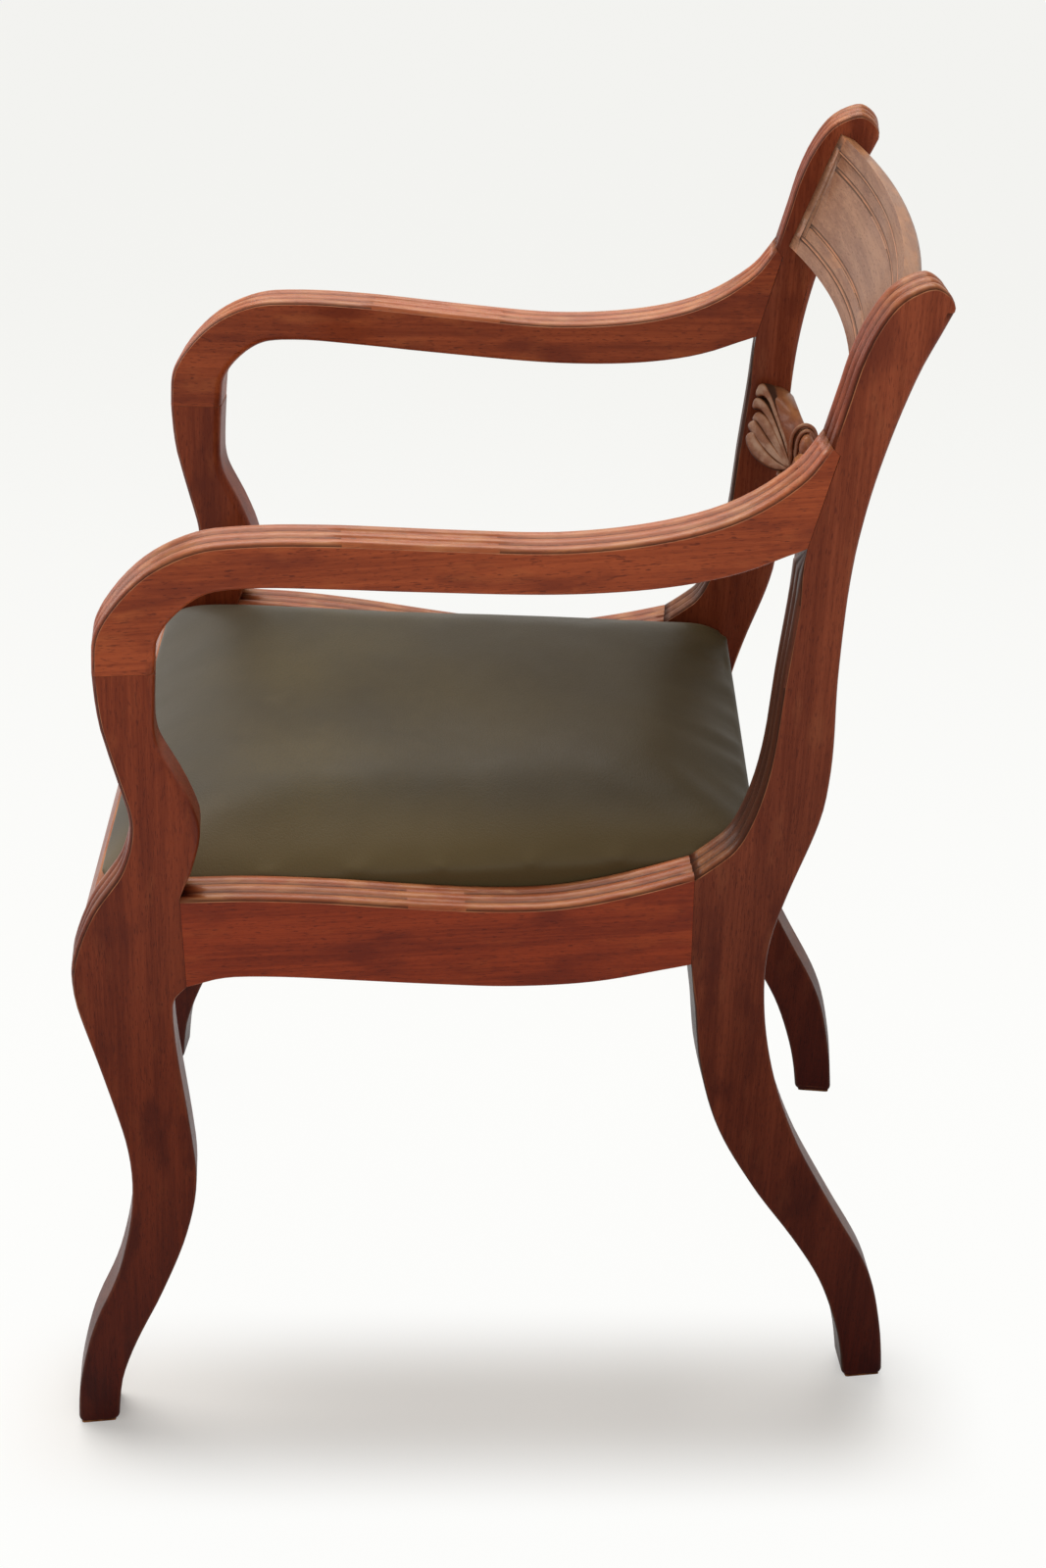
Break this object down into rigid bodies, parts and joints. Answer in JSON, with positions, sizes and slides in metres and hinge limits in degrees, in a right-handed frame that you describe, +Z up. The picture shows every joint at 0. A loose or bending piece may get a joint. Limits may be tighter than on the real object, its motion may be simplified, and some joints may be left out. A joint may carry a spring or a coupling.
{
  "type": "armchair",
  "caption": "Mahogany scroll-arm dining armchair with sabre legs, reeded side frames, bowed panelled crest rail, carved middle rail and a lift-out leather seat.",
  "frame": {"origin": "on the floor, in the middle of the chair's footprint", "axes": "+Z up, the front of the chair faces -Y, +X is the sitter's left"},
  "size_m": [0.504, 0.6098, 0.858],
  "materials": {
    "mahogany": "french polished",
    "mahogany_arm": "french polished, worn lighter",
    "beech": "unfinished",
    "leather": "satin",
    "webbing": "woven jute",
    "sacking": "woven jute",
    "stuffing": "matted hair",
    "screw_steel": "dull"
  },
  "bodies": {
    "frame": {"front_leg_left": "mahogany", "front_leg_right": "mahogany", "rear_leg_left": "mahogany", "rear_leg_right": "mahogany", "arm_left": "mahogany_arm", "arm_right": "mahogany_arm", "side_rail_left": "mahogany", "side_rail_right": "mahogany", "front_rail": "mahogany", "rear_rail": "mahogany", "crest_rail": "mahogany", "middle_rail": "mahogany", "arm_dowel_left": "beech", "arm_dowel_right": "beech", "corner_block_front_left": "beech", "corner_block_front_right": "beech", "corner_block_rear_left": "beech", "corner_block_rear_right": "beech", "block_screw_front_left_side": "screw_steel", "block_screw_front_left_rail": "screw_steel", "block_screw_front_right_side": "screw_steel", "block_screw_front_right_rail": "screw_steel", "block_screw_rear_left_side": "screw_steel", "block_screw_rear_left_rail": "screw_steel", "block_screw_rear_right_side": "screw_steel", "block_screw_rear_right_rail": "screw_steel"},
    "seat": {"seat_frame_front": "beech", "seat_frame_rear": "beech", "seat_frame_left": "beech", "seat_frame_right": "beech", "webbing_long_1": "webbing", "webbing_long_2": "webbing", "webbing_long_3": "webbing", "webbing_cross_1": "webbing", "webbing_cross_2": "webbing", "webbing_cross_3": "webbing", "seat_sacking": "sacking", "seat_stuffing": "stuffing", "seat_cover": "leather"}
  },
  "joints": [
    {"name": "seat_lift", "type": "slide", "parent": "frame", "child": "seat", "axis": [0, 0, 1], "range_m": [0, 0.45]}
  ]
}
